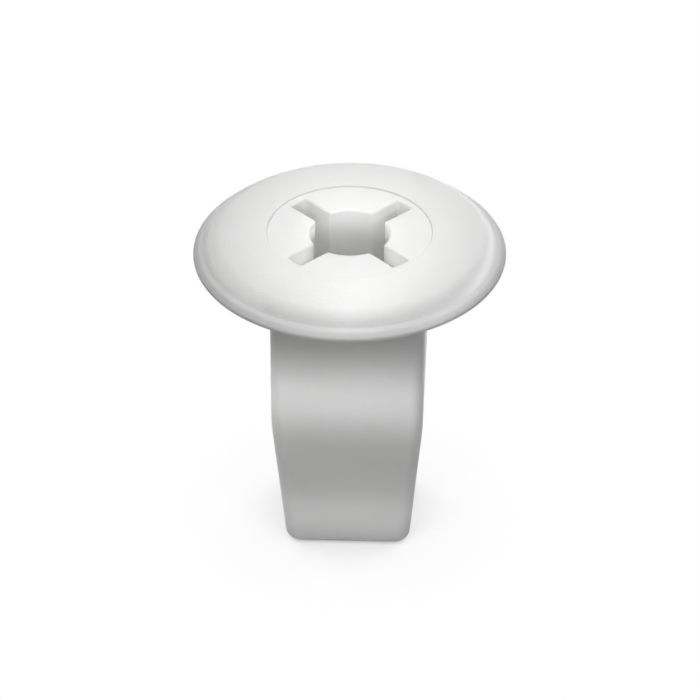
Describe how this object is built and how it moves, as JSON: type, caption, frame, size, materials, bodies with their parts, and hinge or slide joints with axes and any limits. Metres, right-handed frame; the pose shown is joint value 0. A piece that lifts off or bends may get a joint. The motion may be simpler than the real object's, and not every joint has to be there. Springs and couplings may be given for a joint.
{
  "type": "screw grommet",
  "caption": "One-piece moulded nylon screw grommet: domed round head, cross-slotted screw hole and a tapered, barbed square shank that snaps into a square panel hole.",
  "frame": {"origin": "on the screw hole's axis, in the plane of the head's underside that seats on the panel", "axes": "+Z along the screw hole, up through the head; the barbed faces of the shank look along -Y and +Y"},
  "size_m": [0.016, 0.016, 0.0175],
  "materials": {
    "natural_nylon": "satin natural nylon"
  },
  "bodies": {
    "root": {"screw_grommet": "natural_nylon"}
  },
  "joints": []
}
